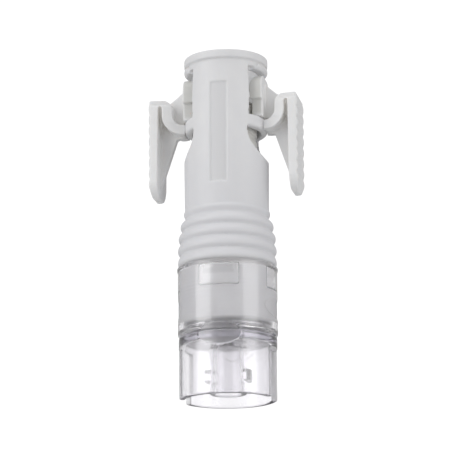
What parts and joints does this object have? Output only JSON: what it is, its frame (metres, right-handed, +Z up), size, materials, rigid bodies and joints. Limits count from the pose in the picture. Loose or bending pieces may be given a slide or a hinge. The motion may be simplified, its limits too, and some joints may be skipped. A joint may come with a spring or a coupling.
{
  "type": "closed-system syringe adaptor",
  "caption": "Syringe adaptor for closed drug transfer: flanged white tube with side squeeze levers, sliding septum carriage, hidden needle and a clear swivelling female luer end.",
  "frame": {"origin": "centre of the lower rim of the clear luer guard, on the tube's axis", "axes": "+Z up along the tube from the luer end to the flanged mouth, -Y the front with the blank panel, +X towards the right-hand lever"},
  "size_m": [0.0254, 0.0166, 0.058],
  "materials": {
    "white_housing": "satin moulded",
    "white_lever": "satin moulded",
    "white_insert": "satin moulded",
    "clear_plastic": "clear gloss",
    "grey_elastomer": "matt",
    "needle_steel": "drawn",
    "spring_steel": "drawn wire"
  },
  "bodies": {
    "housing": {"housing": "white_housing", "clear_collar": "clear_plastic", "return_spring": "spring_steel"},
    "left_lever": {"left_lever": "white_lever"},
    "right_lever": {"right_lever": "white_lever"},
    "carriage": {"septum_carriage": "white_insert", "front_septum": "grey_elastomer", "front_septum_ring": "white_insert", "rear_septum": "grey_elastomer", "rear_septum_ring": "white_insert"},
    "luer": {"luer_guard": "clear_plastic", "female_luer": "clear_plastic", "needle_hub": "white_insert", "needle": "needle_steel"}
  },
  "joints": [
    {"name": "left_lever_hinge", "type": "hinge", "parent": "housing", "child": "left_lever", "pos_m": [-0.0063, 0, 0.0461], "axis": [0, -1, 0], "range_deg": [0, 10], "stiffness_Nm_per_rad": 0.05},
    {"name": "right_lever_hinge", "type": "hinge", "parent": "housing", "child": "right_lever", "pos_m": [0.0063, 0, 0.0461], "axis": [0, 1, 0], "range_deg": [0, 10], "stiffness_Nm_per_rad": 0.05},
    {"name": "carriage_slide", "type": "slide", "parent": "housing", "child": "carriage", "axis": [0, 0, -1], "range_m": [0, 0.012], "stiffness_N_per_m": 120, "springref_m": -0.002, "deforming": ["return_spring"]},
    {"name": "luer_swivel", "type": "hinge", "parent": "housing", "child": "luer", "pos_m": [0, 0, 0], "axis": [0, 0, 1], "continuous": true}
  ]
}
